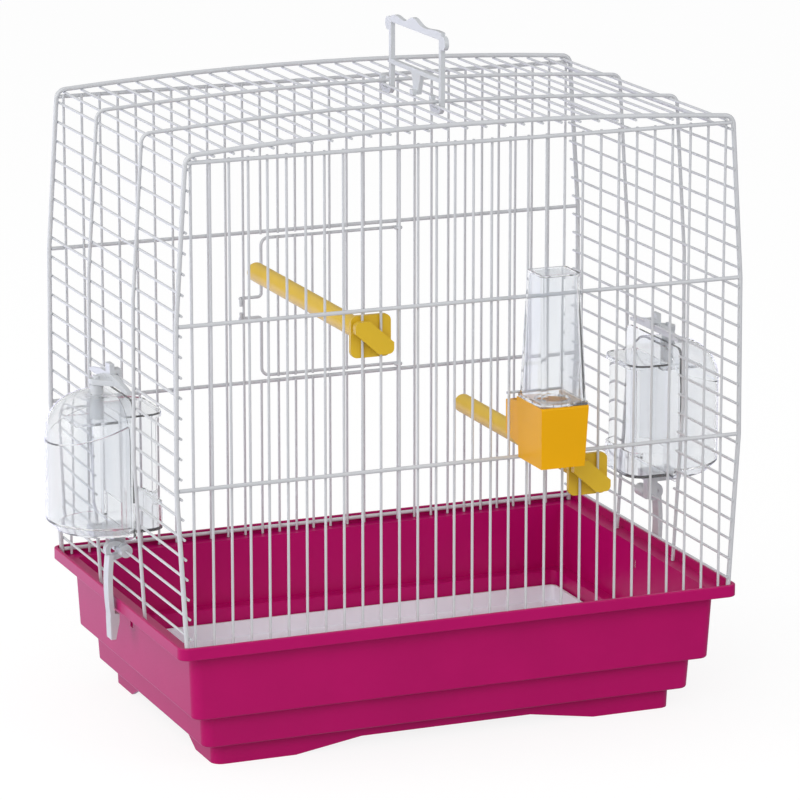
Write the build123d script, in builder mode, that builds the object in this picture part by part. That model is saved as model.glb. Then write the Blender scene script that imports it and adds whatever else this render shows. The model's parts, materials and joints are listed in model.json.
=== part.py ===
from build123d import *
import math
import os

os.makedirs("parts", exist_ok=True)

# A wire bird cage on a stepped plastic base. Millimetres, +Z up, front is -Y.
# The pieces are drawn round the cage's own middle, on the plane that the feet stand on.
# Each piece is then moved back by origin_shift, so that the origin is under the middle
# of the whole object, drinker included.

# Wires
thin_wire_d = 1.6
bar_wire_d = 2.4
end_hoop_d = 2.8
mid_hoop_d = 2.2
door_wire_d = 2.0
weld_bite = 0.04
run_gap = 0.3
pin_gap = 0.08

# Base tray
rim_x = 358.5
rim_margin = 4.0
lip_height = 7.5
lip_overhang = 10.4
body_height = 41.0
body_draft = 2.0
step_inset = 8.0
step_height = 20.7
step_draft = 1.2
skirt_inset = 8.4
skirt_height = 13.8
skirt_draft = 0.5
tray_wall = 2.0
tray_corner_r = 6.5
rim_edge_r = 0.7
step_edge_r = 1.4
foot_lift = 6.7
front_arch_top = 110.0
front_arch_foot = 194.0
side_arch_top = 90.0
side_arch_foot = 117.0
slot_width = 4.5
slot_height = 6.0
slot_drop = 10.4
slot_offset = 0.6

# Liner tray in the base
liner_wall = 1.4
liner_height = 11.5
liner_side_gap = 0.7

# Hoops, measured on the centreline of the front hoop, with heights above the base's rim
cage_half_depth = 117.0
mid_hoop_offset = 40.9
arch_inset = 12.85
arch_end_height = 288.6
arch_rise = 6.4
corner_r = 6.0
leg_lean_deg = 3.9
upper_bend_height = 190.0
lower_bend_height = 93.6
lower_bend_spread = 0.9
foot_draw_in = 4.6
bend_r = 25.0

# Lattice
roof_pitch = 11.93
roof_wires_across = 27
wall_pitch = 11.97
lowest_wall_height = 5.0
wall_wires = 24
wire_overhang = 2.1
window_overhang = 1.4
grille_pitch = 11.59
grille_wires = 30
top_bar_height = 284.2
bottom_bar_height = -2.0

# Door in the rear grille, hung on the grille wire at its right
door_pitches = 8
door_top_height = 185.9
door_bottom_height = 97.4
door_corner_r = 5.0
door_side_gap = 1.0
hook_bend_r = 1.8
latch_gap = 13.0
latch_tip = 4.5
eye_turn_deg = 250.0

# Feeder windows, between the two middle hoops
window_low_wire = 2
window_high_wire = 11

# Feeders, drawn for the left wall
feeder_axis_out = 10.6
hopper_r = 35.5
hopper_straight = 4.6
hopper_wall = 1.6
hopper_low = 15.5
hopper_high = 97.5
hopper_foot_chamfer = 6.0
dome_r = 24.0
seam_low = 69.9
seam_high = 83.0
plate_half = 38.6
plate_wall = 1.8
plate_margin = 2.5
plate_corner_r = 5.0
seed_gate_half = 16.0
bowl_reach = 24.5
bowl_half = 24.0
bowl_depth = 16.0
bowl_corner_r = 11.0
guard_height = 72.0
guard_back = 3.0
shelf_z = 80.5
shelf_reach = 26.0
shelf_half = 13.0
post_d = 8.0
post_stub_d = 4.0
pin_d = 3.6
pin_length = 5.0
pin_wall = 3.2
bracket_half = 4.0
bracket_wall = 2.4
wing_half = 35.0
wing_top_half = 12.0
wing_tip = 1.8
wing_thick = 3.0
finger_height = 6.0
socket_half = 4.0
socket_lug = 6.0
socket_rise = 8.9

# Base clips, on the same wall wire as the feeders' lower sockets
clip_offset = 2.0
clip_arm_half = 4.3
clip_arm_thick = 3.0
clip_arm_gap = 1.2
clip_sleeve_r = 4.0
clip_sleeve_length = 12.0
clip_ring_r = 5.8
clip_ring_hole_r = 2.7
clip_ring_half = 2.5
clip_ring_out = 5.4
clip_bulge = 1.2
clip_barb_depth = 1.6
clip_barb_play = 2.2
clip_barb_height = 5.0
clip_foot = 11.0
clip_foot_flare = 2.4

# Drinker at the front
drinker_x = 47.2
cup_width = 30.2
cup_depth = 36.0
cup_gap = 1.0
cup_wall = 1.8
cup_top_height = 131.0
cup_height = 37.0
cup_front_draft = 2.4
cup_side_draft = 1.3
cup_corner_r = 1.2
trough_reach = 18.7
trough_floor_rise = 6.5
trough_floor_slope = 4.0
trough_rim_drop = 2.5
trough_rim_fall = 3.5
rib_width = 4.0
rib_lip = 4.0
bottle_height = 77.2
bottle_wall = 1.5
bottle_inset = 0.8
bottle_top_width = 26.8
bottle_top_depth = 24.0
bottle_flange = 1.7
bottle_corner_r = 2.0
bottle_top_rim = 1.8
bottle_top_dip = 0.6
spigot_r = 10.5
spigot_length = 12.0

# Perches
perch_d = 12.0
perch_tip_y = 78.0
perch_tip_r = 2.0
perch_plate = 25.0
perch_plate_wall = 3.0
perch_plate_r = 4.0
perch_neck_d = 9.0
toggle_width = 11.2
toggle_long = 24.0
toggle_high = 20.0
toggle_corner_r = 3.2
toggle_wall = 4.2
toggle_slant = -42.0
toggle_reach = 14.6

# Carry handle, hooked under the two middle hoops beside a roof wire
handle_beside_wire = 3.1
handle_thick = 2.8
handle_leg_width = 3.2
handle_front_y = -45.3
handle_rear_y = 33.0
handle_hook_half = 5.8
handle_hook_r = 3.0
handle_hook_depth = 6.5
handle_play = 3.4
handle_tie_lift = 12.4
handle_tie_height = 2.8
handle_boss_y = -8.0
handle_boss_top = 15.0
handle_boss_low = 5.0
handle_foot_side = 1.2
handle_grip_lift = 25.6
handle_grip_thick = 4.7
handle_grip_wave = 2.8
handle_lobe_r = 4.2
handle_lobe_out = 3.4
handle_lobe_drop = 1.4

# The grip's upper edge: how far along from the front leg, and how much of the wave's height
grip_wave_points = ((0.14, 0.0), (0.4, 0.0), (0.55, 1.0), (0.68, -0.3), (0.87, 0.1))

on_base = (Align.CENTER, Align.CENTER, Align.MIN)
from_top = (Align.CENTER, Align.CENTER, Align.MAX)
thin_r = thin_wire_d / 2
bar_r = bar_wire_d / 2
end_hoop_r = end_hoop_d / 2
mid_hoop_r = mid_hoop_d / 2
door_r = door_wire_d / 2


rim_y = 2 * (cage_half_depth + rim_margin)
cup_back_y = -cage_half_depth - bar_r - cup_gap
cup_front_y = cup_back_y - cup_depth
origin_shift = -(cup_front_y + rim_y / 2) / 2


def save(builder, name):
    """Label a finished piece, move it to the origin and write it under its own name."""
    piece = builder.part.moved(Location((0, origin_shift, 0)))
    piece.label = name
    export_step(piece, f"parts/{name}.step")


def save_pair(builder, stem):
    """Write the left piece, and the same piece turned half round for the right."""
    save(builder, f"left_{stem}")
    with BuildPart() as turned:
        with Locations(Location((0, 0, 0), (0, 0, 180))):
            add(builder.part)
    save(turned, f"right_{stem}")


# Heights in the base, from the feet up
skirt_top_z = skirt_height
step_top_z = skirt_top_z + step_height
body_top_z = step_top_z + body_height
rim_top_z = body_top_z + lip_height
ledge_z = body_top_z + tray_wall
foot_end_z = ledge_z + run_gap

# Heights of the cage, which stands in the base
arch_half = rim_x / 2 - arch_inset
arch_end_z = rim_top_z + arch_end_height
upper_bend_z = rim_top_z + upper_bend_height
lower_bend_z = rim_top_z + lower_bend_height
lowest_wall_wire_z = rim_top_z + lowest_wall_height
top_bar_z = rim_top_z + top_bar_height
bottom_bar_z = rim_top_z + bottom_bar_height
door_top_z = rim_top_z + door_top_height
door_bottom_z = rim_top_z + door_bottom_height


class HoopLine:
    """The centreline of a hoop that lies outside the front hoop's own by shift."""

    def __init__(self, shift):
        arch_radius = (arch_half**2 + arch_rise**2) / (2 * arch_rise)
        slope = math.asin(arch_half / arch_radius)
        lean = math.radians(leg_lean_deg)
        corner_x = arch_half - corner_r * math.sin(slope)
        corner_z = arch_end_z - corner_r * math.cos(slope)
        self.arch_centre_z = arch_end_z - arch_radius * math.cos(slope)
        self.arch_radius = arch_radius + shift
        self.peak_z = self.arch_centre_z + self.arch_radius

        def on_corner(angle):
            radius = corner_r + shift
            return (corner_x + radius * math.cos(angle), corner_z + radius * math.sin(angle))

        self.arch_end = on_corner(math.pi / 2 - slope)
        self.corner_mid = on_corner(math.pi / 4)
        self.leg_top = on_corner(lean)
        upper_x = self.leg_top[0] + (self.leg_top[1] - upper_bend_z) * math.tan(lean)
        self.upper = (upper_x, upper_bend_z)
        self.lower = (upper_x + lower_bend_spread, lower_bend_z)
        self.foot = (upper_x - foot_draw_in, foot_end_z)

    def leg_x(self, z):
        """Half width of the hoop at height z, along its straight legs."""
        points = [self.foot, self.lower, self.upper, self.leg_top]
        for (x0, z0), (x1, z1) in zip(points, points[1:]):
            if z <= z1:
                return x0 + (x1 - x0) * (z - z0) / (z1 - z0)
        return self.leg_top[0]

    def roof_z(self, x):
        """Height of the arch above x."""
        return self.arch_centre_z + math.sqrt(self.arch_radius**2 - x**2)


lattice = HoopLine(weld_bite - end_hoop_r - thin_r)
end_hoop = HoopLine(0)


def mirrored(point):
    """The same point of a hoop on its left side."""
    return (-point[0], point[1])


def make_hoop(name, y, radius):
    """One bent hoop of wire across the cage at depth y."""
    line = HoopLine(radius - end_hoop_r)
    right = [line.foot, line.lower, line.upper, line.leg_top]
    left = [mirrored(point) for point in right]
    with BuildPart() as hoop:
        with BuildLine(Plane.XZ.offset(-y)) as path:
            FilletPolyline(*left, radius=bend_r)
            ThreePointArc(left[-1], mirrored(line.corner_mid), mirrored(line.arch_end))
            ThreePointArc(mirrored(line.arch_end), (0, line.peak_z), line.arch_end)
            ThreePointArc(line.arch_end, line.corner_mid, line.leg_top)
            FilletPolyline(*reversed(right), radius=bend_r)
        with BuildSketch(Plane(origin=(left[0][0], y, left[0][1]), z_dir=path.line % 0)):
            Circle(radius)
        sweep(path=path.line)
    save(hoop, name)


make_hoop("hoop_front", -cage_half_depth, end_hoop_r)
make_hoop("hoop_mid_front", -mid_hoop_offset, mid_hoop_r)
make_hoop("hoop_mid_rear", mid_hoop_offset, mid_hoop_r)
make_hoop("hoop_rear", cage_half_depth, end_hoop_r)

# Roof wires run front to back under the hoops, with one more at each end of the arch
roof_xs = [(i - (roof_wires_across - 1) / 2) * roof_pitch for i in range(roof_wires_across)]
roof_spots = [(x, lattice.roof_z(x)) for x in roof_xs]
roof_spots += [lattice.arch_end, mirrored(lattice.arch_end)]
wire_half_length = cage_half_depth + wire_overhang

with BuildPart() as roof:
    with BuildSketch(Plane.XZ):
        with Locations(*roof_spots):
            Circle(thin_r)
    extrude(amount=wire_half_length, both=True)
save(roof, "roof_wires")

# Side walls: the wires beside a feeder stop at the middle hoops
wall_zs = [lowest_wall_wire_z + i * wall_pitch for i in range(wall_wires)]
window_low_z = wall_zs[window_low_wire]
window_high_z = wall_zs[window_high_wire]
window_edge = mid_hoop_offset - window_overhang

for side, wall_name in ((-1, "left_wall_wires"), (1, "right_wall_wires")):
    spots = [(side * lattice.leg_x(z), z) for z in wall_zs]
    parted = [spot for spot in spots if window_low_z < spot[1] < window_high_z]
    whole = [spot for spot in spots if spot not in parted]
    with BuildPart() as wall:
        with BuildSketch(Plane.XZ):
            with Locations(*whole):
                Circle(thin_r)
        extrude(amount=wire_half_length, both=True)
        for end in (-1, 1):
            with BuildSketch(Plane.XZ.offset(end * window_edge)):
                with Locations(*parted):
                    Circle(thin_r)
            extrude(amount=end * (wire_half_length - window_edge))
    save(wall, wall_name)

# Grilles: upright wires behind the cross bars
upright_y = cage_half_depth - bar_r - thin_r + weld_bite
upright_high_z = top_bar_z + bar_r
upright_xs = [(i - (grille_wires - 1) / 2) * grille_pitch for i in range(grille_wires)]
upper_bar_z = upper_bend_z
lower_bar_z = lower_bend_z


def upright(x, y, z0, z1):
    """One straight upright wire."""
    with Locations((x, y, (z0 + z1) / 2)):
        Cylinder(thin_r, z1 - z0)


def cross_wire(half, x, y, z, radius):
    """One straight wire across the cage."""
    with Locations(Location((x, y, z), (0, 90, 0))):
        Cylinder(radius, 2 * half)


def four_bars(y):
    """The four cross bars of a grille, welded between the legs of the end hoop."""
    for z in (bottom_bar_z, lower_bar_z, upper_bar_z, top_bar_z):
        half = end_hoop.leg_x(z) - end_hoop_r / math.cos(math.radians(leg_lean_deg)) + weld_bite
        cross_wire(half, 0, y, z, bar_r)


# The drinker's opening in the front grille is two uprights wide, under a short cross wire
cup_top_z = rim_top_z + cup_top_height
drinker_uprights = [x for x in upright_xs if abs(x - drinker_x) < cup_width / 2]
drinker_middle = sum(drinker_uprights) / len(drinker_uprights)
lintel_z = cup_top_z + thin_r + run_gap
lintel_half = 1.5 * grille_pitch + thin_r

with BuildPart() as front_uprights:
    for x in upright_xs:
        if x in drinker_uprights:
            upright(x, -upright_y, foot_end_z, lower_bar_z + bar_r)
            upright(x, -upright_y, lintel_z - thin_r, upright_high_z)
        else:
            upright(x, -upright_y, foot_end_z, upright_high_z)
save(front_uprights, "front_upright_wires")

with BuildPart() as front_bars:
    four_bars(-cage_half_depth)
    cross_wire(lintel_half, drinker_middle, weld_bite / 2 + thin_wire_d - upright_y, lintel_z, thin_r)
save(front_bars, "front_cross_bars")

# The doorway in the rear grille lies between two uprights that run through
hinge_post_x = upright_xs[grille_wires // 2 + door_pitches // 2]
latch_post_x = upright_xs[grille_wires // 2 - door_pitches // 2 - 1]

with BuildPart() as rear_uprights:
    for x in upright_xs:
        if latch_post_x < x < hinge_post_x:
            upright(x, upright_y, foot_end_z, lower_bar_z + bar_r)
            upright(x, upright_y, upper_bar_z - bar_r, upright_high_z)
        else:
            upright(x, upright_y, foot_end_z, upright_high_z)
save(rear_uprights, "rear_upright_wires")

with BuildPart() as rear_bars:
    four_bars(cage_half_depth)
save(rear_bars, "rear_cross_bars")

# Door: two bent frame wires, each with an eye round the hinge post and a latch hook
eye_r = thin_r + run_gap + door_r
door_y = upright_y + eye_r
door_left_x = hinge_post_x - door_pitches * grille_pitch + door_side_gap
latch_z = (upper_bar_z + lower_bar_z) / 2
hook_x = latch_post_x - eye_r
hook_tip_y = upright_y - thin_r


def on_eye(angle_deg, z):
    """A point of the hinge eye, by its angle round the hinge post."""
    angle = math.radians(angle_deg)
    return (hinge_post_x + eye_r * math.cos(angle), upright_y + eye_r * math.sin(angle), z)


def door_half(rail_z, hook_z):
    """One frame wire: hinge eye, rail, rounded corner, stile and latch hook."""
    eye_start = 90 - eye_turn_deg
    with BuildPart() as half:
        with BuildLine() as path:
            ThreePointArc(
                on_eye(eye_start, rail_z), on_eye(90 - eye_turn_deg / 2, rail_z), on_eye(90, rail_z)
            )
            FilletPolyline(
                (hinge_post_x, door_y, rail_z),
                (door_left_x, door_y, rail_z),
                (door_left_x, door_y, hook_z),
                (hook_x, door_y, hook_z),
                (hook_x, hook_tip_y, hook_z),
                (hook_x, hook_tip_y, hook_z + math.copysign(latch_tip, latch_z - hook_z)),
                radius=(door_corner_r, door_corner_r / 2, hook_bend_r, hook_bend_r),
            )
        with BuildSketch(Plane(origin=on_eye(eye_start, rail_z), z_dir=path.line % 0)):
            Circle(door_r)
        sweep(path=path.line)
    return half.part


upper_door_wire = door_half(door_top_z, latch_z + latch_gap / 2)
lower_door_wire = door_half(door_bottom_z, latch_z - latch_gap / 2)
with BuildPart() as door_frame:
    add(upper_door_wire)
    add(lower_door_wire)
save(door_frame, "door_frame")

door_upright_y = door_y - door_r - thin_r + weld_bite
door_upright_xs = [x for x in upright_xs if door_left_x + grille_pitch / 2 < x < hinge_post_x]
with BuildPart() as door_uprights:
    for x in door_upright_xs:
        upright(x, door_upright_y, door_bottom_z - door_r, door_top_z + door_r)
save(door_uprights, "door_upright_wires")


def leaning_block(size_x, size_y, z0, z1, draft, corner, low_r=0, high_r=0):
    """A block with round corners, whose walls lean out by draft over its height."""
    with BuildPart() as block:
        with BuildSketch(Plane.XY.offset(z0)):
            RectangleRounded(size_x - 2 * draft, size_y - 2 * draft, corner)
        with BuildSketch(Plane.XY.offset(z1)):
            RectangleRounded(size_x, size_y, corner)
        loft()
        if low_r:
            fillet(block.faces().sort_by(Axis.Z)[0].edges(), low_r)
        if high_r:
            fillet(block.faces().sort_by(Axis.Z)[-1].edges(), high_r)
    return block.part


# Base tray: a rim and two steps one wall thick, on a hollow skirt cut into feet
body_x = rim_x - 2 * lip_overhang
body_y = rim_y - 2 * lip_overhang
step_x = body_x - 2 * (body_draft + step_inset)
step_y = body_y - 2 * (body_draft + step_inset)
skirt_x = step_x - 2 * (step_draft + skirt_inset)
skirt_y = step_y - 2 * (step_draft + skirt_inset)
trim = 2 * tray_wall
inner_corner_r = tray_corner_r - tray_wall

tiers = (
    (rim_x, rim_y, body_top_z, rim_top_z, 0, rim_edge_r, rim_edge_r),
    (body_x, body_y, step_top_z, body_top_z, body_draft, step_edge_r, 0),
    (step_x, step_y, skirt_top_z, step_top_z, step_draft, step_edge_r, 0),
)
shells = []
hollows = []
for size_x, size_y, z0, z1, draft, low_r, high_r in tiers:
    reach = z1 + (0 if high_r else tray_wall / 2)
    shells.append(leaning_block(size_x, size_y, z0, reach, draft, tray_corner_r, low_r, high_r))
    top = z1 + 2 * tray_wall
    hollows.append(leaning_block(size_x - trim, size_y - trim, z0 + tray_wall, top, draft, inner_corner_r))
skirt = leaning_block(skirt_x, skirt_y, 0, skirt_top_z + tray_wall / 2, skirt_draft, tray_corner_r)
skirt_hollow = leaning_block(
    skirt_x - trim, skirt_y - trim, 0, skirt_top_z, skirt_draft, inner_corner_r
)


def foot_arch(plane, foot_width, top_width, reach):
    """The space between two feet, with slanting ends."""
    with BuildPart() as arch:
        with BuildSketch(plane):
            with BuildLine():
                Polyline(
                    (-foot_width / 2, -foot_lift),
                    (-foot_width / 2, 0),
                    (-top_width / 2, foot_lift),
                    (top_width / 2, foot_lift),
                    (foot_width / 2, 0),
                    (foot_width / 2, -foot_lift),
                    close=True,
                )
            make_face()
        extrude(amount=reach, both=True)
    return arch.part


front_arch = foot_arch(Plane.XZ, front_arch_foot, front_arch_top, rim_y)
side_arch = foot_arch(Plane.YZ, side_arch_foot, side_arch_top, rim_x)

with BuildPart() as base:
    for shell in shells:
        add(shell)
    add(skirt)
    for hollow in hollows:
        add(hollow, mode=Mode.SUBTRACT)
    for space in (skirt_hollow, front_arch, side_arch):
        add(space, mode=Mode.SUBTRACT)
    for side in (-1, 1):
        with Locations((side * (body_x / 2 - tray_wall), side * slot_offset, body_top_z - slot_drop)):
            Box(3 * tray_wall, slot_width, slot_height, mode=Mode.SUBTRACT)
save(base, "base_tray")

liner_x = step_x - 2 * (step_draft + tray_wall + liner_side_gap)
liner_y = step_y - 2 * (step_draft + tray_wall + liner_side_gap)
liner_low_z = skirt_top_z + tray_wall + run_gap
liner_top_z = liner_low_z + liner_height
liner_block = leaning_block(liner_x, liner_y, liner_low_z, liner_top_z, 0, inner_corner_r, step_edge_r)
liner_hollow = leaning_block(
    liner_x - 2 * liner_wall,
    liner_y - 2 * liner_wall,
    liner_low_z + liner_wall,
    liner_top_z + liner_wall,
    0,
    inner_corner_r - liner_wall,
)
with BuildPart() as liner:
    add(liner_block)
    add(liner_hollow, mode=Mode.SUBTRACT)
save(liner, "liner_tray")

# Feeders: a clear hopper outside and a bowl inside, turning on pins in the window
window_wall_x = lattice.leg_x((window_low_z + window_high_z) / 2) + thin_r
axis_x = -(window_wall_x + feeder_axis_out)
plate_outer_x = -window_wall_x - plate_wall
hopper_bottom_z = window_low_z + hopper_low
hopper_top_z = window_low_z + hopper_high
seam_low_z = window_low_z + seam_low
seam_high_z = window_low_z + seam_high
post_foot_z = window_low_z + shelf_z + hopper_wall
round_x = plate_outer_x - hopper_straight


def domed_block(radius, z0, z1, round_r, foot_cut):
    """A D-shaped block against the wall, with a domed top and a chamfered foot."""
    with BuildPart() as block:
        with BuildSketch(Plane.XY.offset(z0)):
            with BuildLine():
                Line((plate_outer_x, -radius), (round_x, -radius))
                ThreePointArc((round_x, -radius), (round_x - radius, 0), (round_x, radius))
                Line((round_x, radius), (plate_outer_x, radius))
                Line((plate_outer_x, radius), (plate_outer_x, -radius))
            make_face()
        extrude(amount=z1 - z0)
        top_edges = block.faces().sort_by(Axis.Z)[-1].edges().filter_by(Axis.Y, reverse=True)
        fillet(top_edges, round_r)
        low_edges = block.faces().sort_by(Axis.Z)[0].edges().filter_by(Axis.Y, reverse=True)
        chamfer(low_edges, foot_cut)
    return block.part


dome_outer = domed_block(hopper_r, hopper_bottom_z, hopper_top_z, dome_r, hopper_foot_chamfer)
dome_inner = domed_block(
    hopper_r - hopper_wall,
    hopper_bottom_z + hopper_wall,
    hopper_top_z - hopper_wall,
    dome_r - hopper_wall,
    hopper_foot_chamfer - hopper_wall / 2,
)
seam_slope = math.atan2(seam_high_z - seam_low_z, hopper_r + hopper_straight)
seam_plane = Plane(
    origin=(round_x - hopper_r, 0, seam_low_z),
    x_dir=(math.cos(seam_slope), 0, math.sin(seam_slope)),
    z_dir=(-math.sin(seam_slope), 0, math.cos(seam_slope)),
)
plate_low_z = hopper_bottom_z - plate_margin / 2
socket_top_z = plate_low_z - 2 * run_gap
plate_high_z = hopper_top_z + plate_margin

with BuildPart() as hopper:
    add(dome_outer)
    add(dome_inner, mode=Mode.SUBTRACT)
    split(bisect_by=seam_plane, keep=Keep.BOTTOM)
    # The plate closes the hopper's back, with a low gate for the seed
    with BuildSketch(Plane.YZ.offset(plate_outer_x)):
        with Locations((0, (plate_low_z + plate_high_z) / 2)):
            RectangleRounded(2 * plate_half, plate_high_z - plate_low_z, plate_corner_r)
        with Locations((0, hopper_bottom_z + hopper_wall + bowl_depth / 2)):
            Rectangle(2 * seed_gate_half, bowl_depth, mode=Mode.SUBTRACT)
    extrude(amount=plate_wall)
    # A shelf carries the pivot post
    with Locations((plate_outer_x - shelf_reach / 2, 0, post_foot_z - hopper_wall / 2)):
        Box(shelf_reach, 2 * shelf_half, hopper_wall)
    with Locations((axis_x, 0, post_foot_z)):
        Cylinder(post_stub_d / 2 + pin_gap, 4 * hopper_wall, mode=Mode.SUBTRACT)
    # The lower pin hangs under the hopper's floor
    with Locations((axis_x, 0, socket_top_z - pin_wall)):
        Cylinder(pin_d / 2, hopper_bottom_z + hopper_wall / 2 - socket_top_z + pin_wall, align=on_base)
save_pair(hopper, "feeder_hopper")

with BuildPart() as lid:
    add(dome_outer)
    add(dome_inner, mode=Mode.SUBTRACT)
    split(bisect_by=seam_plane.offset(run_gap), keep=Keep.TOP)
    split(bisect_by=Plane.YZ.offset(plate_outer_x - run_gap), keep=Keep.BOTTOM)
    with Locations((axis_x, 0, hopper_top_z)):
        Cylinder(post_d / 2 + run_gap, 4 * hopper_wall, mode=Mode.SUBTRACT)
save_pair(lid, "feeder_lid")

# Bowl on the bird's side, between two guards that keep the seed in
bowl_back_x = -window_wall_x + pin_gap
guard_top_z = hopper_bottom_z + guard_height
with BuildPart() as bowl:
    with BuildSketch(Plane.XY.offset(hopper_bottom_z)):
        with Locations((bowl_back_x, 0)):
            RectangleRounded(2 * bowl_reach, 2 * bowl_half, bowl_corner_r)
    extrude(amount=guard_height)
    with BuildSketch(Plane.XY.offset(hopper_bottom_z + hopper_wall)):
        with Locations((bowl_back_x, 0)):
            RectangleRounded(
                2 * (bowl_reach - hopper_wall), 2 * (bowl_half - hopper_wall), bowl_corner_r - hopper_wall
            )
    extrude(amount=guard_height - 2 * hopper_wall, mode=Mode.SUBTRACT)
    split(bisect_by=Plane.YZ.offset(bowl_back_x), keep=Keep.TOP)
    opening_high = guard_top_z - 2 * hopper_wall
    opening_low = hopper_bottom_z + bowl_depth
    with Locations((bowl_back_x + guard_back + bowl_reach, 0, (opening_high + opening_low) / 2)):
        Box(2 * bowl_reach, 2 * (bowl_half - hopper_wall), opening_high - opening_low, mode=Mode.SUBTRACT)
save_pair(bowl, "feeder_bowl")

# Pivots: a post on the hopper's shelf, a bracket above it and a socket below the hopper
pin_wire_x = -lattice.leg_x(window_high_z)
post_shoulder_z = window_high_z - thin_r - pin_wall - 3 * run_gap
wire_clear = thin_r + run_gap
pin_hole_r = pin_d / 2 + pin_gap

with BuildPart() as post:
    with Locations((axis_x, 0, post_foot_z + pin_gap)):
        Cylinder(post_d / 2, post_shoulder_z - post_foot_z - pin_gap, align=on_base)
        Cylinder(post_stub_d / 2, hopper_wall, align=from_top)
    with Locations((axis_x, 0, post_shoulder_z)):
        Cylinder(pin_d / 2, pin_length, align=on_base)
save_pair(post, "feeder_pivot_post")


def box_between(x0, x1, z0, z1):
    """A rectangle of a sketch on the XZ plane, by its edges."""
    with Locations(((x0 + x1) / 2, (z0 + z1) / 2)):
        Rectangle(abs(x1 - x0), abs(z1 - z0))


# The bracket is a wing outside the window's top wire, with a hook over it and a pin hole
bracket_low_z = post_shoulder_z + run_gap
wing_inner_x = pin_wire_x - wire_clear
wing_outer_x = wing_inner_x - wing_thick
wing_top_z = window_high_z + wire_clear
wing_tip_z = bracket_low_z + wing_tip
hook_back_x = pin_wire_x + wire_clear
with BuildPart() as bracket:
    with BuildSketch(Plane.XY.offset(bracket_low_z)):
        with Locations((axis_x, 0)):
            Circle(post_d / 2 + run_gap)
        with Locations((wing_inner_x - wing_thick / 2, 0)):
            Rectangle(wing_thick, 2 * wing_top_half)
        make_hull()
    extrude(amount=pin_wall)
    with BuildSketch(Plane.YZ.offset(wing_outer_x)):
        with BuildLine():
            Polyline(
                (-wing_half, bracket_low_z),
                (wing_half, bracket_low_z),
                (wing_half, wing_tip_z),
                (wing_top_half, wing_top_z),
                (-wing_top_half, wing_top_z),
                (-wing_half, wing_tip_z),
                close=True,
            )
        make_face()
    extrude(amount=wing_thick)
    with BuildSketch(Plane.XZ):
        box_between(wing_outer_x, wing_inner_x, bracket_low_z, wing_top_z + finger_height)
        box_between(wing_outer_x, hook_back_x + bracket_wall, wing_top_z, wing_top_z + bracket_wall)
        hook_end_x = hook_back_x + bracket_wall
        box_between(hook_back_x, hook_end_x, window_high_z - thin_r, wing_top_z + bracket_wall)
    extrude(amount=bracket_half, both=True)
    with Locations((axis_x, 0, bracket_low_z)):
        Cylinder(pin_hole_r, 4 * pin_wall, mode=Mode.SUBTRACT)
save_pair(bracket, "feeder_top_bracket")

# The socket is a block above the base clip, held on the window's low wire by one lug
low_wire_x = -lattice.leg_x(window_low_z)
clip_y = -clip_offset
sleeve_end_y = clip_y + clip_sleeve_length / 2
lug_near_y = sleeve_end_y + run_gap
lug_far_y = lug_near_y + socket_lug
lug_low_z = window_low_z - thin_r - bracket_wall / 2
socket_low_z = window_low_z + socket_rise
socket_back_x = low_wire_x + wire_clear + bracket_wall
lug_outer_x = low_wire_x - wire_clear - bracket_wall
with BuildPart() as socket:
    with BuildSketch(Plane.XZ.offset(-lug_far_y)):
        box_between(axis_x - pin_d / 2 - bracket_wall, socket_back_x, socket_low_z, socket_top_z)
    extrude(amount=lug_far_y + socket_half)
    with BuildSketch(Plane.XZ.offset(-lug_far_y)):
        box_between(lug_outer_x, socket_back_x, lug_low_z, socket_top_z)
        with Locations((low_wire_x, window_low_z)):
            Circle(thin_r + pin_gap, mode=Mode.SUBTRACT)
        with Locations((low_wire_x, lug_low_z)):
            Rectangle(thin_wire_d - pin_gap, 2 * (window_low_z - lug_low_z), mode=Mode.SUBTRACT)
    extrude(amount=socket_lug)
    with Locations((axis_x, 0, socket_top_z)):
        Cylinder(pin_hole_r, 2 * (pin_wall + run_gap), mode=Mode.SUBTRACT)
save_pair(socket, "feeder_lower_socket")

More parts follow.
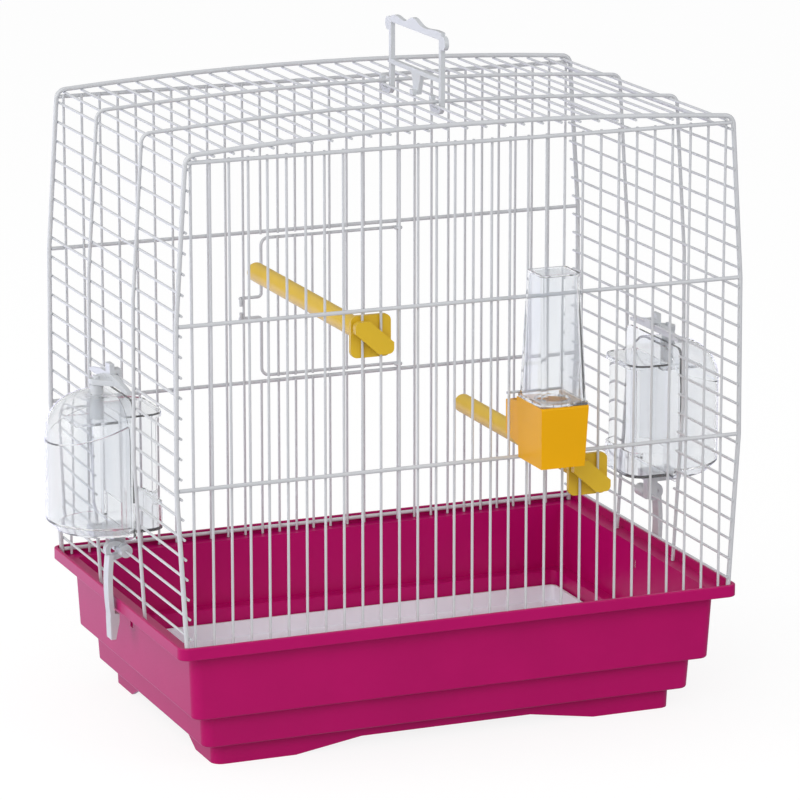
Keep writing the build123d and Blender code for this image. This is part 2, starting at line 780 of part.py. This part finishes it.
# Base clip: a sleeve and a ring on a wall wire, and an arm hooked under the rim
arm_inner_x = -(rim_x / 2 + clip_arm_gap)
arm_outer_x = arm_inner_x - clip_arm_thick
barb_x = -(rim_x / 2 - clip_barb_depth)
barb_z = body_top_z - clip_barb_play
barb_low_z = barb_z - clip_barb_height
foot_low_z = barb_low_z - clip_foot
foot_low_x = barb_x - clip_foot_flare
arm_top_z = window_low_z - clip_sleeve_r / 2
arm_mid_z = (arm_top_z + barb_z) / 2
ring_x = low_wire_x - clip_ring_out
ring_y = clip_y + clip_arm_half - clip_ring_half
with BuildPart() as clip:
    with BuildSketch(Plane.XZ.offset(-sleeve_end_y)):
        with Locations((low_wire_x, window_low_z)):
            Circle(clip_sleeve_r)
    extrude(amount=clip_sleeve_length)
    with BuildSketch(Plane.XZ.offset(-ring_y)):
        with Locations((low_wire_x, window_low_z)):
            Circle(clip_sleeve_r)
        with Locations((ring_x, window_low_z)):
            Circle(clip_ring_r)
        make_hull()
    extrude(amount=clip_ring_half, both=True)
    with BuildSketch(Plane.XZ.offset(-clip_y)):
        with BuildLine():
            ThreePointArc(
                (arm_inner_x, arm_top_z), (arm_inner_x - clip_bulge, arm_mid_z), (arm_inner_x, barb_z)
            )
            Polyline(
                (arm_inner_x, barb_z),
                (barb_x, barb_z),
                (barb_x, barb_low_z),
                (foot_low_x, foot_low_z),
                (foot_low_x - clip_arm_thick, foot_low_z),
                (arm_outer_x, barb_low_z),
                (arm_outer_x, barb_z),
            )
            ThreePointArc(
                (arm_outer_x, barb_z), (arm_outer_x - clip_bulge, arm_mid_z), (arm_outer_x, arm_top_z)
            )
            Line((arm_outer_x, arm_top_z), (arm_inner_x, arm_top_z))
        make_face()
    extrude(amount=clip_arm_half, both=True)
    with BuildSketch(Plane.XZ.offset(-sleeve_end_y)):
        with Locations((low_wire_x, window_low_z)):
            Circle(thin_r + pin_gap)
        with Locations((ring_x, window_low_z)):
            Circle(clip_ring_hole_r)
    extrude(amount=clip_sleeve_length, mode=Mode.SUBTRACT)
save_pair(clip, "base_clip")

# Drinker: a cup that hangs on the lower cross bar, with a bottle standing in its rim
cup_low_z = cup_top_z - cup_height
cup_middle_y = cup_back_y - cup_depth / 2
trough_end_y = cup_back_y + trough_reach
trough_floor_z = cup_low_z + trough_floor_rise
trough_rim_z = cup_top_z - trough_rim_drop
trough_half = cup_width / 2 - cup_side_draft


def cup_block(inset, z0, z1):
    """The cup's upright block, narrower towards its foot, all round smaller by inset."""
    with BuildPart() as block:
        with BuildSketch(Plane((drinker_x, cup_middle_y + cup_front_draft / 2, z0))):
            Rectangle(2 * (trough_half - inset), cup_depth - cup_front_draft - 2 * inset)
        with BuildSketch(Plane((drinker_x, cup_middle_y, z1))):
            Rectangle(cup_width - 2 * inset, cup_depth - 2 * inset)
        loft()
    return block.part


def trough_block(half, floor_z, y0, y1, front_z, end_z):
    """The trough's shape towards the birds, from y0 to y1, under a rim that falls to end_z."""
    with BuildPart() as block:
        with BuildSketch(Plane.YZ.offset(drinker_x)):
            with BuildLine():
                Polyline(
                    (y0, floor_z),
                    (y1, floor_z + trough_floor_slope),
                    (y1, end_z),
                    (y0, front_z),
                    close=True,
                )
            make_face()
        extrude(amount=half, both=True)
    return block.part


cup_outer = cup_block(0, cup_low_z, cup_top_z)
cup_inner = cup_block(cup_wall, cup_low_z + cup_wall, cup_top_z + cup_wall)
trough_start_y = cup_back_y - 2 * cup_wall
trough_outer = trough_block(
    trough_half, trough_floor_z, trough_start_y, trough_end_y, trough_rim_z, trough_rim_z - trough_rim_fall
)
open_z = cup_top_z + cup_wall
trough_inner = trough_block(
    trough_half - cup_wall, trough_floor_z + cup_wall, trough_start_y, trough_end_y - cup_wall, open_z, open_z
)
rib_seat_z = lower_bar_z + bar_r + run_gap
rib_lip_y = -cage_half_depth + bar_r + run_gap
rib_length = rib_lip_y + bracket_wall - cup_back_y
rib_high_z = trough_floor_z + cup_wall / 2

with BuildPart() as cup:
    add(cup_outer)
    fillet(cup.edges().filter_by(GeomType.LINE).group_by(Axis.Y)[0], cup_corner_r)
    add(trough_outer)
    add(cup_inner, mode=Mode.SUBTRACT)
    add(trough_inner, mode=Mode.SUBTRACT)
    # A rib sits on the cross bar, and its lip holds the bar from behind
    with Locations((drinker_middle, cup_back_y, rib_seat_z)):
        Box(rib_width, rib_length, rib_high_z - rib_seat_z, align=(Align.CENTER, Align.MIN, Align.MIN))
    with Locations((drinker_middle, rib_lip_y, rib_seat_z)):
        Box(rib_width, bracket_wall, rib_lip, align=(Align.CENTER, Align.MIN, Align.MAX))
save(cup, "drinker_cup")

bottle_depth = cup_depth - run_gap
bottle_middle_y = cup_back_y - run_gap - bottle_depth / 2
bottle_low_z = cup_top_z + run_gap
bottle_top_z = bottle_low_z + bottle_height


def bottle_block(inset, z0, z1):
    """The bottle's body, narrower towards its top, all round smaller by inset."""
    with BuildPart() as block:
        with BuildSketch(Plane((drinker_x, bottle_middle_y, z0))):
            RectangleRounded(cup_width - 2 * inset, bottle_depth - 2 * inset, bottle_corner_r)
        with BuildSketch(Plane((drinker_x, bottle_middle_y, z1))):
            top_width = bottle_top_width - 2 * inset
            RectangleRounded(top_width, bottle_top_depth - 2 * inset, bottle_corner_r)
        loft()
    return block.part


bottle_outer = bottle_block(bottle_inset, bottle_low_z, bottle_top_z)
inner_inset = bottle_inset + bottle_wall
bottle_inner = bottle_block(inner_inset, bottle_low_z + bottle_flange, bottle_top_z - bottle_wall)
dip_rim = 2 * (bottle_inset + bottle_top_rim)
with BuildPart() as bottle:
    add(bottle_outer)
    with BuildSketch(Plane((drinker_x, bottle_middle_y, bottle_low_z))):
        RectangleRounded(cup_width, bottle_depth, bottle_corner_r)
    extrude(amount=bottle_flange)
    with BuildSketch(Plane((drinker_x, bottle_middle_y, bottle_top_z - bottle_top_dip))):
        RectangleRounded(bottle_top_width - dip_rim, bottle_top_depth - dip_rim, bottle_corner_r)
    extrude(amount=bottle_wall, mode=Mode.SUBTRACT)
    with BuildSketch(Plane((drinker_x, bottle_middle_y, bottle_low_z - spigot_length))):
        Circle(spigot_r)
    extrude(amount=spigot_length + bottle_flange)
    add(bottle_inner, mode=Mode.SUBTRACT)
    with BuildSketch(Plane((drinker_x, bottle_middle_y, bottle_low_z - spigot_length))):
        Circle(spigot_r - bottle_wall)
    extrude(amount=spigot_length + 2 * bottle_flange, mode=Mode.SUBTRACT)
save(bottle, "drinker_bottle")

# Perches: a rod held by its plate inside the grille and its toggle outside
plate_outer_y = run_gap - upright_y + thin_r
toggle_inner_y = -upright_y - thin_r - run_gap
upper_perch_x = -5 * grille_pitch
lower_perch_x = 7 * grille_pitch
perch_drop = toggle_reach + bar_r + run_gap


def make_perch(name, x, z):
    """One perch, with its plate and its slanting toggle."""
    plate_plane = Plane(origin=(x, plate_outer_y, z), x_dir=(1, 0, 0), z_dir=(0, -1, 0))
    toggle_plane = Plane(origin=(x, toggle_inner_y, z), x_dir=(1, 0, 0), z_dir=(0, -1, 0))
    with BuildPart() as perch:
        with BuildSketch(plate_plane):
            RectangleRounded(perch_plate, perch_plate, perch_plate_r)
        extrude(amount=-perch_plate_wall)
        with BuildSketch(plate_plane):
            Circle(perch_d / 2)
        extrude(amount=plate_outer_y - perch_tip_y)
        fillet(perch.faces().sort_by(Axis.Y)[-1].edges(), perch_tip_r)
        with BuildSketch(plate_plane):
            Circle(perch_neck_d / 2)
        extrude(amount=plate_outer_y - toggle_inner_y + toggle_wall / 2)
        with BuildSketch(toggle_plane):
            RectangleRounded(toggle_long, toggle_high, toggle_corner_r)
            Rectangle(2 * toggle_long, toggle_width, rotation=toggle_slant, mode=Mode.INTERSECT)
        extrude(amount=toggle_wall)
    save(perch, name)


make_perch("upper_perch", upper_perch_x, upper_bar_z - perch_drop)
make_perch("lower_perch", lower_perch_x, lower_bar_z - perch_drop)

# Carry handle: a waved grip on two legs, each hooked under a middle hoop
handle_x = roof_pitch + handle_beside_wire
mid_hoop = HoopLine(mid_hoop_r - end_hoop_r)
hook_low_z = mid_hoop.roof_z(handle_x) - mid_hoop_r - handle_play
hook_top_z = hook_low_z + handle_hook_depth
boss_low_z = lattice.roof_z(roof_pitch) + thin_r + run_gap
tie_z = boss_low_z + handle_tie_lift
grip_low_z = tie_z + handle_grip_lift
grip_top_z = grip_low_z + handle_grip_thick
leg_half = handle_leg_width / 2
legs_apart = handle_rear_y - handle_front_y
rear_edge_y = handle_rear_y + leg_half
front_edge_y = handle_front_y - leg_half
wave = []
for along, up in grip_wave_points:
    wave.append((handle_front_y + along * legs_apart, grip_top_z + up * handle_grip_wave))

with BuildPart() as handle:
    with BuildSketch(Plane.YZ.offset(handle_x)):
        for leg_y in (handle_front_y, handle_rear_y):
            # Each hook is a U beside its leg, as thick as the leg
            with Locations((leg_y + leg_half + handle_hook_half, hook_top_z)):
                outer_width = 2 * (handle_hook_half + handle_leg_width)
                outer_depth = 2 * (handle_hook_depth + handle_leg_width)
                RectangleRounded(outer_width, outer_depth, handle_hook_r + handle_leg_width)
                RectangleRounded(
                    2 * handle_hook_half, 2 * handle_hook_depth, handle_hook_r, mode=Mode.SUBTRACT
                )
                Rectangle(outer_width, outer_depth, align=(Align.CENTER, Align.MIN), mode=Mode.SUBTRACT)
            with Locations((leg_y, hook_top_z)):
                Rectangle(handle_leg_width, grip_low_z - hook_top_z, align=(Align.CENTER, Align.MIN))
        with Locations(((handle_front_y + handle_rear_y) / 2, tie_z)):
            Rectangle(legs_apart, handle_tie_height, align=(Align.CENTER, Align.MIN))
        with BuildLine():
            Polyline(
                (handle_boss_y - handle_boss_low / 2, boss_low_z),
                (handle_boss_y + handle_boss_low / 2, boss_low_z),
                (handle_boss_y + handle_boss_top / 2, tie_z + handle_tie_height / 2),
                (handle_boss_y - handle_boss_top / 2, tie_z + handle_tie_height / 2),
                close=True,
            )
        make_face()
        with BuildLine():
            Spline((front_edge_y, grip_top_z), *wave, (rear_edge_y, grip_top_z - handle_grip_wave))
            Polyline(
                (rear_edge_y, grip_top_z - handle_grip_wave),
                (rear_edge_y, grip_low_z),
                (front_edge_y, grip_low_z),
                (front_edge_y, grip_top_z),
            )
        make_face()
        lobe_z = grip_low_z - handle_lobe_drop
        lobe_front = (front_edge_y - handle_lobe_out + leg_half, lobe_z)
        lobe_rear = (rear_edge_y + handle_lobe_out - leg_half, lobe_z)
        with Locations(lobe_front, lobe_rear):
            Circle(handle_lobe_r)
    extrude(amount=handle_thick / 2, both=True)
    # The boss's foot rests on the roof wire beside it
    with Locations((roof_pitch - handle_foot_side, handle_boss_y, boss_low_z)):
        Box(
            handle_x - roof_pitch + handle_foot_side,
            handle_boss_low,
            handle_tie_height,
            align=(Align.MIN, Align.CENTER, Align.MIN),
        )
save(handle, "carry_handle")
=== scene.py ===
import json
import math

import bpy
from mathutils import Matrix, Vector


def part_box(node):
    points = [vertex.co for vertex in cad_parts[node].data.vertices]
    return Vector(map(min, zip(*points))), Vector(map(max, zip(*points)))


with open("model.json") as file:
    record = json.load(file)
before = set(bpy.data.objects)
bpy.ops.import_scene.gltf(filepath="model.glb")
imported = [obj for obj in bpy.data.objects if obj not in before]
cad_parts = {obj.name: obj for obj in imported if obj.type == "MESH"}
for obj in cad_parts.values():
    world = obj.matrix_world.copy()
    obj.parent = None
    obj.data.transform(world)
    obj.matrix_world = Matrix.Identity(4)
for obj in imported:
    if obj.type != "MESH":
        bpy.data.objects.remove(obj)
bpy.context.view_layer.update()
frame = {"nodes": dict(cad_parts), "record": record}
nodes = frame["nodes"]

# Camera, at the photograph's viewing angle, placed from the middle of the base
base_low, base_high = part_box("base_tray")
CAMERA_LEFT = 0.9905
CAMERA_FRONT = 2.4401
CAMERA_HEIGHT = 0.8362
CAMERA_AT = Vector((-CAMERA_LEFT, (base_low[1] + base_high[1]) / 2 - CAMERA_FRONT, CAMERA_HEIGHT))
CAMERA_AZIMUTH = math.radians(-22.23)
CAMERA_ELEVATION = math.radians(13.84)
CAMERA_LENS = 200.0


def make_camera():
    data = bpy.data.cameras.new("camera")
    data.lens = CAMERA_LENS
    data.sensor_width = 36.0
    data.clip_end = 20.0
    camera = bpy.data.objects.new("camera", data)
    bpy.context.scene.collection.objects.link(camera)
    sin_a, cos_a = math.sin(CAMERA_AZIMUTH), math.cos(CAMERA_AZIMUTH)
    sin_e, cos_e = math.sin(CAMERA_ELEVATION), math.cos(CAMERA_ELEVATION)
    back = Vector((sin_a * cos_e, -cos_a * cos_e, sin_e))
    right = Vector((cos_a, sin_a, 0))
    up = back.cross(right)
    turn = Matrix((right, up, back)).transposed().to_4x4()
    camera.matrix_world = Matrix.Translation(CAMERA_AT) @ turn
    bpy.context.scene.camera = camera


# Material helpers


def node_of(tree, kind):
    """The tree's first node of this type."""
    return next(n for n in tree.nodes if n.type == kind)


def new_material(name):
    """A node material and its Principled shader, with what adds and what links its nodes."""
    material = bpy.data.materials.new(name)
    material.use_nodes = True
    tree = material.node_tree
    shader = node_of(tree, "BSDF_PRINCIPLED")

    def add(kind, **settings):
        node = tree.nodes.new(kind)
        for key, value in settings.items():
            if key in node.inputs:
                node.inputs[key].default_value = value
            else:
                setattr(node, key, value)
        return node

    return material, shader, add, tree.links.new


def noise(add, link, scale, detail=3.0, stretch=(1, 1, 1)):
    """Object-space noise, in cycles per metre."""
    coordinates = add("ShaderNodeTexCoord")
    mapping = add("ShaderNodeMapping")
    mapping.inputs["Scale"].default_value = stretch
    texture = add("ShaderNodeTexNoise", Scale=scale, Detail=detail)
    link(coordinates.outputs["Object"], mapping.inputs["Vector"])
    link(mapping.outputs["Vector"], texture.inputs["Vector"])
    return texture.outputs["Fac"]


def ramp(add, link, source, stops):
    """A colour ramp fed by source, through (place, colour) stops."""
    node = add("ShaderNodeValToRGB")
    link(source, node.inputs["Fac"])
    elements = node.color_ramp.elements
    while len(elements) < len(stops):
        elements.new(0.5)
    for element, (place, colour) in zip(elements, stops):
        element.position = place
        element.color = (*colour, 1.0)
    return node.outputs["Color"]


def spread(add, link, source, low, high):
    """Source, from 0 to 1, mapped to low to high."""
    node = add("ShaderNodeMapRange")
    node.inputs["To Min"].default_value = low
    node.inputs["To Max"].default_value = high
    link(source, node.inputs["Value"])
    return node.outputs["Result"]


def bump(add, link, shader, source, distance, strength):
    """Raise the shader's surface by source, up to distance."""
    node = add("ShaderNodeBump", Strength=strength, Distance=distance)
    link(source, node.inputs["Height"])
    link(node.outputs["Normal"], shader.inputs["Normal"])


def srgb(red, green, blue):
    """An 8-bit colour as the linear values that a shader reads."""
    levels = (red / 255, green / 255, blue / 255)
    return tuple(c / 12.92 if c <= 10 / 255 else ((c + 0.055) / 1.055) ** 2.4 for c in levels)


def shade(colour, factor):
    return tuple(min(1.0, c * factor) for c in colour)


WIRE_WHITE = srgb(209, 211, 215)
BASE_PINK = srgb(186, 6, 102)
LINER_GREY = srgb(240, 238, 245)
CUP_YELLOW = srgb(242, 176, 2)
PERCH_YELLOW = srgb(226, 186, 40)
CLIP_WHITE = srgb(209, 212, 216)


def plastic(name, colour, roughness, coat=0.0, mottle=0.04, grain=900.0, shine=0.5):
    """Moulded plastic: faint flow marks in the colour, a fine grain and an uneven gloss."""
    material, shader, add, link = new_material(name)
    flow = noise(add, link, 22.0, 2.0)
    tint = ramp(add, link, flow, ((0.3, shade(colour, 1 - mottle)), (0.7, shade(colour, 1 + mottle))))
    link(tint, shader.inputs["Base Color"])
    fine = noise(add, link, grain, 2.0)
    link(spread(add, link, fine, roughness * 0.85, roughness * 1.2), shader.inputs["Roughness"])
    bump(add, link, shader, fine, 0.00002, 0.25)
    shader.inputs["Specular IOR Level"].default_value = shine
    shader.inputs["Coat Weight"].default_value = coat
    shader.inputs["Coat Roughness"].default_value = 0.12
    return material


def wire_coat():
    """White powder coat on wire: faint orange peel and a slightly uneven white."""
    return plastic("wire_coat", WIRE_WHITE, 0.34, coat=0.25, mottle=0.03, grain=1400.0)


def clear_plastic():
    """Clear injection-moulded plastic, with faint ripples in its surface."""
    material, shader, add, link = new_material("clear_plastic")
    flow = noise(add, link, 40.0, 2.0, (1, 1, 0.25))
    tint = ramp(add, link, flow, ((0.3, srgb(244, 246, 249)), (0.7, srgb(253, 254, 255))))
    link(tint, shader.inputs["Base Color"])
    shader.inputs["Transmission Weight"].default_value = 0.93
    shader.inputs["IOR"].default_value = 1.25
    link(spread(add, link, flow, 0.01, 0.05), shader.inputs["Roughness"])
    bump(add, link, shader, flow, 0.0004, 0.15)
    return material


def milky_plastic():
    """White plastic that lets a little light through."""
    material = plastic("milky_plastic", CLIP_WHITE, 0.3, coat=0.2, mottle=0.03)
    shader = node_of(material.node_tree, "BSDF_PRINCIPLED")
    shader.inputs["Subsurface Weight"].default_value = 0.3
    shader.inputs["Subsurface Radius"].default_value = (0.002, 0.002, 0.002)
    shader.inputs["Subsurface Scale"].default_value = 1.0
    return material


materials = {
    "cage_wire": wire_coat(),
    "base_plastic": plastic("base_plastic", BASE_PINK, 0.3, shine=0.22),
    "liner_plastic": plastic("liner_plastic", LINER_GREY, 0.5, mottle=0.02),
    "clear_plastic": clear_plastic(),
    "white_plastic": milky_plastic(),
    "accent_plastic": plastic("cup_plastic", CUP_YELLOW, 0.36, shine=0.2),
}
perch_material = plastic("perch_plastic", PERCH_YELLOW, 0.34)


# Rounded edges of the moulded pieces
EDGE_WIDTH = 0.00035
BASE_EDGE_WIDTH = 0.0006
EDGE_ANGLE = math.radians(40)


def dress_nodes():
    """Give each CAD node the material of its slot, and round the edges of moulded pieces."""
    slots = {row["node"]: row["material_slot"] for row in frame["record"]["subparts"]}
    for name, node in nodes.items():
        material = materials[slots[name]]
        if name.endswith("perch"):
            material = perch_material
        node.data.materials.clear()
        node.data.materials.append(material)
        if slots[name] != "cage_wire":
            edge = node.modifiers.new("soft_edges", "BEVEL")
            edge.width = BASE_EDGE_WIDTH if name == "base_tray" else EDGE_WIDTH
            edge.segments = 2
            edge.limit_method = "ANGLE"
            edge.angle_limit = EDGE_ANGLE
            edge.harden_normals = False


def seen_ray_mix(tree, seen, other):
    """Shader that camera rays and rays through clear plastic meet as seen, and all others as other."""
    path = tree.nodes.new("ShaderNodeLightPath")
    either = tree.nodes.new("ShaderNodeMath")
    either.operation = "MAXIMUM"
    tree.links.new(path.outputs["Is Camera Ray"], either.inputs[0])
    tree.links.new(path.outputs["Is Transmission Ray"], either.inputs[1])
    mix = tree.nodes.new("ShaderNodeMixShader")
    tree.links.new(either.outputs[0], mix.inputs["Fac"])
    tree.links.new(other, mix.inputs[1])
    tree.links.new(seen, mix.inputs[2])
    return mix.outputs["Shader"]


# The floor as the camera, as light and as gloss meet it, and the studio's brighter and darker sides
FLOOR_HALF = 12.0
FLOOR_GLOW = 0.86
FLOOR_SEEN = 0.18
FLOOR_BOUNCE = 0.60
FLOOR_GLOSS_RANGE = (0.06, 1.4)
FLOOR_GLOSS_COLOUR = (0.93, 0.93, 1.2, 1)
FLOOR_FAR_SIDE = (-0.5, 0.85, 0.0)
FLOOR_FADE = (-0.4, 0.6)
BRIGHT_SIDE = (-0.70, 0.10, 0.70)
SKY_FADE = (-0.7, 0.9)
LIGHT_RANGE = (0.27, 0.98)
GLOSS_RANGE = (0.10, 1.10)


def make_stage():
    """A white floor that keeps a little of the object's soft shadow."""
    mesh = bpy.data.meshes.new("floor")
    corners = [(x * FLOOR_HALF, y * FLOOR_HALF, 0) for x, y in ((-1, -1), (1, -1), (1, 1), (-1, 1))]
    mesh.from_pydata(corners, [], [(0, 1, 2, 3)])
    floor = bpy.data.objects.new("floor", mesh)
    bpy.context.scene.collection.objects.link(floor)
    material, shader, add, link = new_material("floor_white")
    tree = material.node_tree
    output = node_of(tree, "OUTPUT_MATERIAL")
    shader.inputs["Base Color"].default_value = (FLOOR_SEEN, FLOOR_SEEN, FLOOR_SEEN, 1)
    shader.inputs["Roughness"].default_value = 0.9
    shader.inputs["Specular IOR Level"].default_value = 0.0
    glow = add("ShaderNodeEmission", Strength=FLOOR_GLOW)
    both = add("ShaderNodeAddShader")
    link(shader.outputs[0], both.inputs[0])
    link(glow.outputs[0], both.inputs[1])
    bounce = add("ShaderNodeBsdfDiffuse", Color=(FLOOR_BOUNCE, FLOOR_BOUNCE, FLOOR_BOUNCE, 1))
    place = add("ShaderNodeTexCoord")
    behind = add("ShaderNodeVectorMath", operation="DOT_PRODUCT")
    behind.inputs[1].default_value = FLOOR_FAR_SIDE
    link(place.outputs["Object"], behind.inputs[0])
    level = add("ShaderNodeMapRange")
    level.inputs["From Min"].default_value = FLOOR_FADE[0]
    level.inputs["From Max"].default_value = FLOOR_FADE[1]
    level.inputs["To Min"].default_value = FLOOR_GLOSS_RANGE[0]
    level.inputs["To Max"].default_value = FLOOR_GLOSS_RANGE[1]
    link(behind.outputs["Value"], level.inputs["Value"])
    mirrored = add("ShaderNodeEmission", Color=FLOOR_GLOSS_COLOUR)
    link(level.outputs["Result"], mirrored.inputs["Strength"])
    path = add("ShaderNodeLightPath")
    unseen = add("ShaderNodeMixShader")
    link(path.outputs["Is Glossy Ray"], unseen.inputs["Fac"])
    link(bounce.outputs[0], unseen.inputs[1])
    link(mirrored.outputs[0], unseen.inputs[2])
    link(seen_ray_mix(tree, both.outputs[0], unseen.outputs[0]), output.inputs["Surface"])
    mesh.materials.append(material)


def make_world():
    """White to the camera and through clear plastic; a soft sky from the upper left as light and gloss."""
    world = bpy.data.worlds.new("studio")
    bpy.context.scene.world = world
    world.use_nodes = True
    tree = world.node_tree
    new, link = tree.nodes.new, tree.links.new
    output = node_of(tree, "OUTPUT_WORLD")
    direction = new("ShaderNodeTexCoord")
    facing = new("ShaderNodeVectorMath")
    facing.operation = "DOT_PRODUCT"
    facing.inputs[1].default_value = Vector(BRIGHT_SIDE).normalized()
    link(direction.outputs["Generated"], facing.inputs[0])

    def sky(levels):
        level = new("ShaderNodeMapRange")
        level.interpolation_type = "SMOOTHSTEP"
        level.inputs["From Min"].default_value = SKY_FADE[0]
        level.inputs["From Max"].default_value = SKY_FADE[1]
        level.inputs["To Min"].default_value = levels[0]
        level.inputs["To Max"].default_value = levels[1]
        link(facing.outputs["Value"], level.inputs["Value"])
        background = new("ShaderNodeBackground")
        link(level.outputs["Result"], background.inputs["Strength"])
        return background.outputs[0]

    path = new("ShaderNodeLightPath")
    by_gloss = new("ShaderNodeMixShader")
    link(path.outputs["Is Glossy Ray"], by_gloss.inputs["Fac"])
    link(sky(LIGHT_RANGE), by_gloss.inputs[1])
    link(sky(GLOSS_RANGE), by_gloss.inputs[2])
    white = new("ShaderNodeBackground")
    white.inputs["Color"].default_value = (1, 1, 1, 1)
    link(seen_ray_mix(tree, white.outputs[0], by_gloss.outputs[0]), output.inputs["Surface"])


def area_light(name, at, target, size, power):
    """A square soft light at a place, turned to its target."""
    data = bpy.data.lights.new(name, "AREA")
    data.shape = "SQUARE"
    data.size = size
    data.energy = power
    lamp = bpy.data.objects.new(name, data)
    aim = (Vector(target) - Vector(at)).to_track_quat("-Z", "Y")
    lamp.matrix_world = Matrix.Translation(at) @ aim.to_matrix().to_4x4()
    bpy.context.scene.collection.objects.link(lamp)


make_camera()
make_stage()
make_world()
area_light("key", (-1.3, -2.0, 1.3), (0, 0, 0.2), 1.3, 18.0)
area_light("side", (-2.3, 0.3, 0.7), (0, 0, 0.1), 1.6, 15.0)
area_light("fill", (1.7, -2.1, 0.9), (0, 0, 0.2), 1.6, 14.0)
bpy.context.scene.view_settings.view_transform = "Standard"
dress_nodes()
